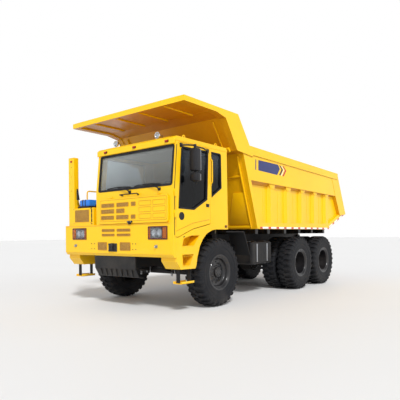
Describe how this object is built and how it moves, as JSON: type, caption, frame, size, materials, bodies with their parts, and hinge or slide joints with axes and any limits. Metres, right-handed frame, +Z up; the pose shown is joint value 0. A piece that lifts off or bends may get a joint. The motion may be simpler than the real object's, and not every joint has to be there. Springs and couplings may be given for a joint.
{
  "type": "mining dump truck",
  "caption": "Off-highway mining dump truck with an offset forward cab, tandem twin rear axles and a rear-tipping bed whose canopy covers the cab.",
  "frame": {"origin": "middle of the whole footprint at ground level, under the tyres", "axes": "+X towards the truck's left (driver's) side, -Y towards its front, +Z up; the chassis middle plane is at x = -0.10"},
  "size_m": [3.74, 8.937, 4.284],
  "materials": {
    "yellow_paint": "semi-gloss enamel with light dust",
    "chassis_black": "satin black chassis paint",
    "machined_steel": "ground steel",
    "tyre_rubber": "matt rubber with chevron lugs",
    "rim_black": "gloss black rim paint",
    "cab_glass": "tinted safety glass",
    "lamp_lens": "clear and amber lens",
    "cab_plastic": "grained black plastic",
    "seat_fabric": "woven seat cloth",
    "tank_plastic": "blue moulded plastic"
  },
  "bodies": {
    "chassis": {"air_tank": "chassis_black", "bogie_suspension": "chassis_black", "cab_floor": "chassis_black", "cab_roof": "yellow_paint", "cab_shell": "yellow_paint", "coolant_tank": "tank_plastic", "dashboard": "cab_plastic", "driver_seat_base": "cab_plastic", "driver_seat_pad": "seat_fabric", "engine_and_gearbox": "machined_steel", "fender_left": "yellow_paint", "fender_right": "yellow_paint", "front_axle": "chassis_black", "front_bumper": "yellow_paint", "fuel_tank": "chassis_black", "headlight_left": "lamp_lens", "headlight_right": "lamp_lens", "main_frame": "chassis_black", "middle_axle": "chassis_black", "propeller_shaft": "machined_steel", "quarter_glass": "cab_glass", "radiator_guard": "chassis_black", "rear_axle": "chassis_black", "rear_glass": "cab_glass", "right_deck": "yellow_paint", "right_glass": "cab_glass", "steering_wheel": "cab_plastic", "step_left": "yellow_paint", "step_right": "yellow_paint", "tow_coupler": "chassis_black", "windshield": "cab_glass"},
    "knuckle_left": {"knuckle_left": "chassis_black"},
    "knuckle_right": {"knuckle_right": "chassis_black"},
    "tie_rod": {"tie_rod": "chassis_black"},
    "wheel_front_left": {"wheel_front_left": "tyre_rubber"},
    "wheel_front_right": {"wheel_front_right": "tyre_rubber"},
    "wheel_middle_left": {"wheel_middle_left": "tyre_rubber"},
    "wheel_middle_right": {"wheel_middle_right": "tyre_rubber"},
    "wheel_rear_left": {"wheel_rear_left": "tyre_rubber"},
    "wheel_rear_right": {"wheel_rear_right": "tyre_rubber"},
    "cab_door": {"door_left": "yellow_paint", "door_glass": "cab_glass", "mirror_left": "cab_plastic"},
    "service_flap": {"grille_flap": "yellow_paint"},
    "dump_bed": {"bed_canopy": "yellow_paint", "bed_floor": "yellow_paint", "bed_front_wall": "yellow_paint", "bed_side_left": "yellow_paint", "bed_side_right": "yellow_paint", "bed_subframe": "chassis_black"},
    "hoist_barrel": {"hoist_barrel": "machined_steel"},
    "hoist_stage_1": {"hoist_stage_1": "machined_steel"},
    "hoist_stage_2": {"hoist_stage_2": "machined_steel"},
    "hoist_stage_3": {"hoist_stage_3": "machined_steel"},
    "hoist_rod": {"hoist_rod": "machined_steel"}
  },
  "joints": [
    {"name": "steer_left", "type": "hinge", "parent": "chassis", "child": "knuckle_left", "pos_m": [0.93, -2.8085, 0.74141], "axis": [0, 0, 1], "range_deg": [-30, 30]},
    {"name": "steer_right", "type": "hinge", "parent": "chassis", "child": "knuckle_right", "pos_m": [-1.13, -2.8085, 0.74141], "axis": [0, 0, 1], "range_deg": [-30, 30]},
    {"name": "tie_rod_turn", "type": "hinge", "parent": "knuckle_left", "child": "tie_rod", "pos_m": [0.93, -2.3885, 0.64076], "axis": [0, 0, 1], "range_deg": [-30, 30]},
    {"name": "roll_front_left", "type": "hinge", "parent": "knuckle_left", "child": "wheel_front_left", "pos_m": [1.34, -2.8085, 0.74141], "axis": [1, 0, 0], "continuous": true},
    {"name": "roll_middle_left", "type": "hinge", "parent": "chassis", "child": "wheel_middle_left", "pos_m": [1.19, 0.9915, 0.74141], "axis": [1, 0, 0], "continuous": true},
    {"name": "roll_rear_left", "type": "hinge", "parent": "chassis", "child": "wheel_rear_left", "pos_m": [1.19, 2.5915, 0.74141], "axis": [1, 0, 0], "continuous": true},
    {"name": "roll_front_right", "type": "hinge", "parent": "knuckle_right", "child": "wheel_front_right", "pos_m": [-1.54, -2.8085, 0.74141], "axis": [1, 0, 0], "continuous": true},
    {"name": "roll_middle_right", "type": "hinge", "parent": "chassis", "child": "wheel_middle_right", "pos_m": [-1.39, 0.9915, 0.74141], "axis": [1, 0, 0], "continuous": true},
    {"name": "roll_rear_right", "type": "hinge", "parent": "chassis", "child": "wheel_rear_right", "pos_m": [-1.39, 2.5915, 0.74141], "axis": [1, 0, 0], "continuous": true},
    {"name": "door_swing", "type": "hinge", "parent": "chassis", "child": "cab_door", "pos_m": [1.616, -4.3535, 2.4], "axis": [0, 0, -1], "range_deg": [0, 70]},
    {"name": "flap_lift", "type": "hinge", "parent": "chassis", "child": "service_flap", "pos_m": [0.485, -4.4085, 2.372], "axis": [-1, 0, 0], "range_deg": [0, 80]},
    {"name": "bed_tip", "type": "hinge", "parent": "chassis", "child": "dump_bed", "pos_m": [-0.1, 3.3415, 1.45], "axis": [-1, 0, 0], "range_deg": [0, 45]},
    {"name": "hoist_swing", "type": "hinge", "parent": "chassis", "child": "hoist_barrel", "pos_m": [-0.1, -2.0885, 1.24], "axis": [-1, 0, 0], "range_deg": [0, 25.06]},
    {"name": "hoist_stage_1_slide", "type": "slide", "parent": "hoist_barrel", "child": "hoist_stage_1", "axis": [0, 0.0496, 0.9988], "range_m": [0, 1.0069]},
    {"name": "hoist_stage_2_slide", "type": "slide", "parent": "hoist_stage_1", "child": "hoist_stage_2", "axis": [0, 0.0496, 0.9988], "range_m": [0, 1.0069]},
    {"name": "hoist_stage_3_slide", "type": "slide", "parent": "hoist_stage_2", "child": "hoist_stage_3", "axis": [0, 0.0496, 0.9988], "range_m": [0, 1.0069]},
    {"name": "hoist_rod_slide", "type": "slide", "parent": "hoist_stage_3", "child": "hoist_rod", "axis": [0, 0.0496, 0.9988], "range_m": [0, 1.0069]}
  ],
  "couplings": [
    {"joint": "steer_right", "follows": "steer_left", "ratio": 1},
    {"joint": "tie_rod_turn", "follows": "steer_left", "ratio": -1},
    {"joint": "hoist_swing", "follows": "bed_tip", "ratio": 0.5565},
    {"joint": "hoist_stage_1_slide", "follows": "bed_tip", "m_per_rad": 1.2814},
    {"joint": "hoist_stage_2_slide", "follows": "bed_tip", "m_per_rad": 1.2814},
    {"joint": "hoist_stage_3_slide", "follows": "bed_tip", "m_per_rad": 1.2814},
    {"joint": "hoist_rod_slide", "follows": "bed_tip", "m_per_rad": 1.2814}
  ]
}
